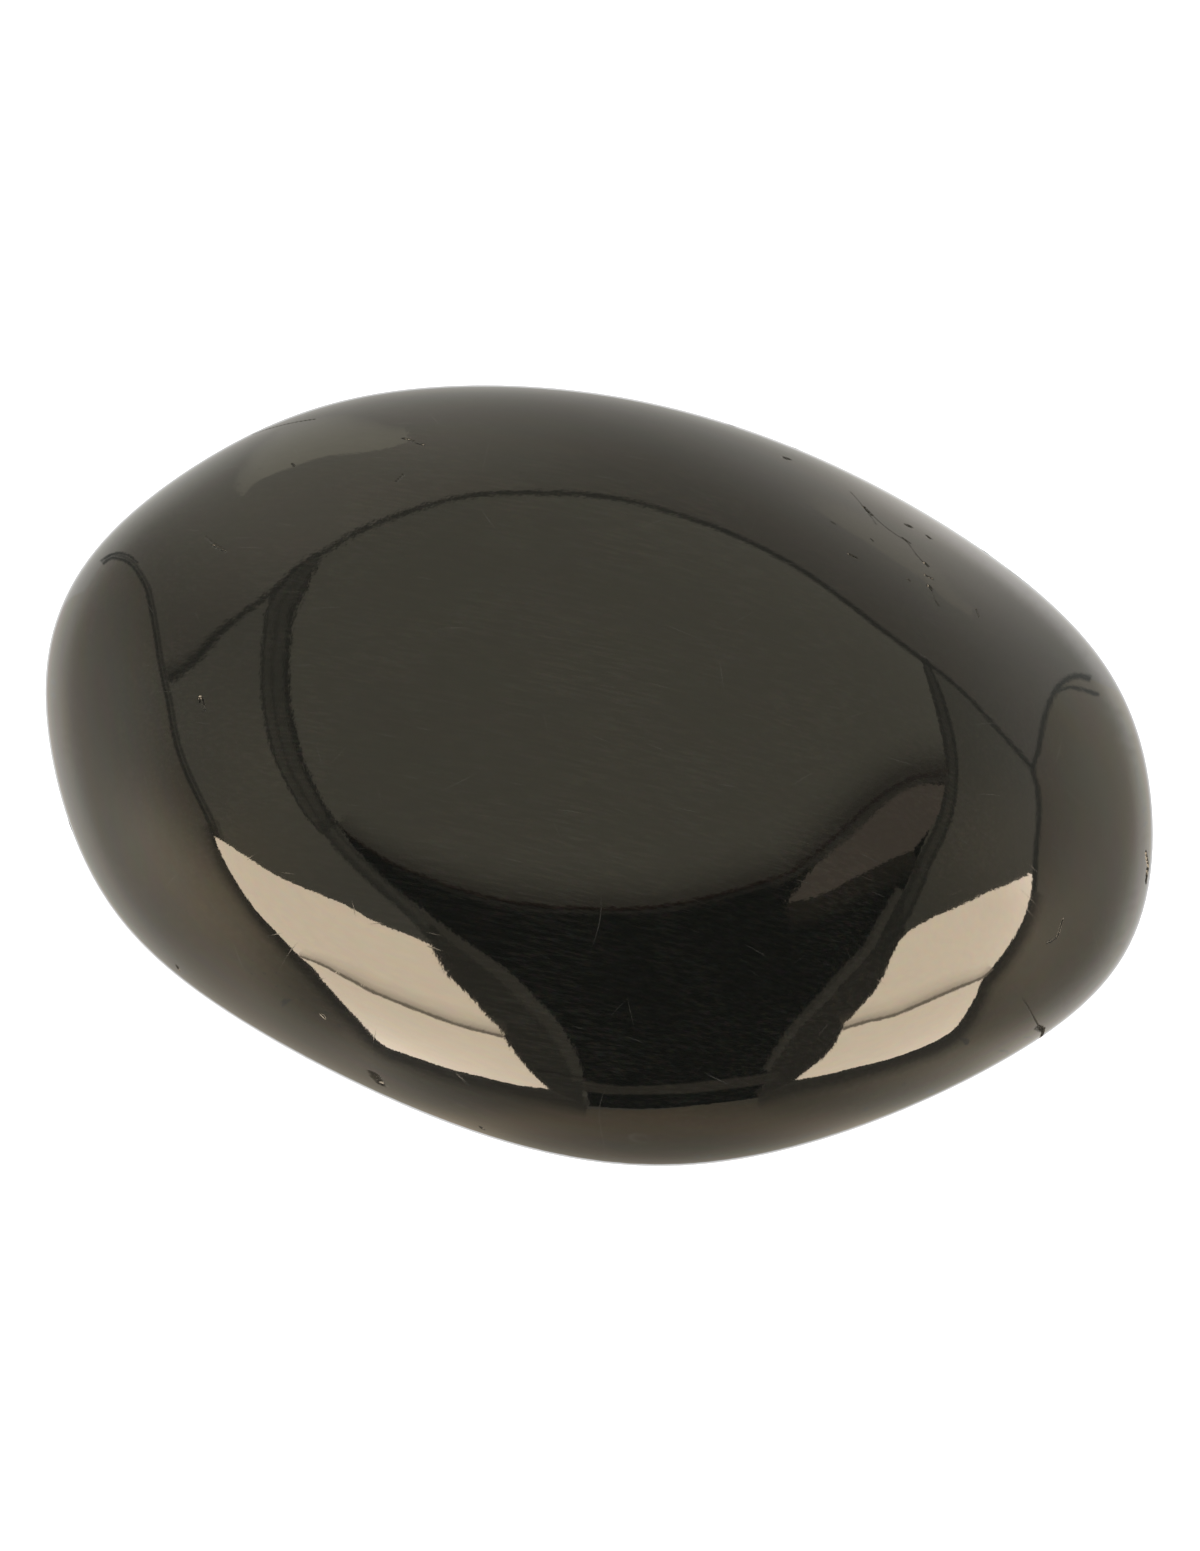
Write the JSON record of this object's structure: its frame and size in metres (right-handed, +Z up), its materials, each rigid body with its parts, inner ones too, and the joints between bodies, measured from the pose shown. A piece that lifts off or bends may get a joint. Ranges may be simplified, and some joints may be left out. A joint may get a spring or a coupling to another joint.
{
  "type": "jet stone",
  "caption": "Flat oval palm stone of polished black jet, smoothly rounded all over, with small pits and scratches, lying on its broad underside.",
  "frame": {"origin": "middle of the stone's plan, on the plane of the small flat that it rests on", "axes": "+X along the stone's length and +Y across its width, both towards its long low slopes, and +Z up through its broad top"},
  "size_m": [0.0504, 0.0404, 0.0219],
  "materials": {
    "stone": "polished to a mirror gloss, with faint grain, hairline scratches and tiny pits"
  },
  "bodies": {
    "root": {"stone": "stone"}
  },
  "joints": []
}
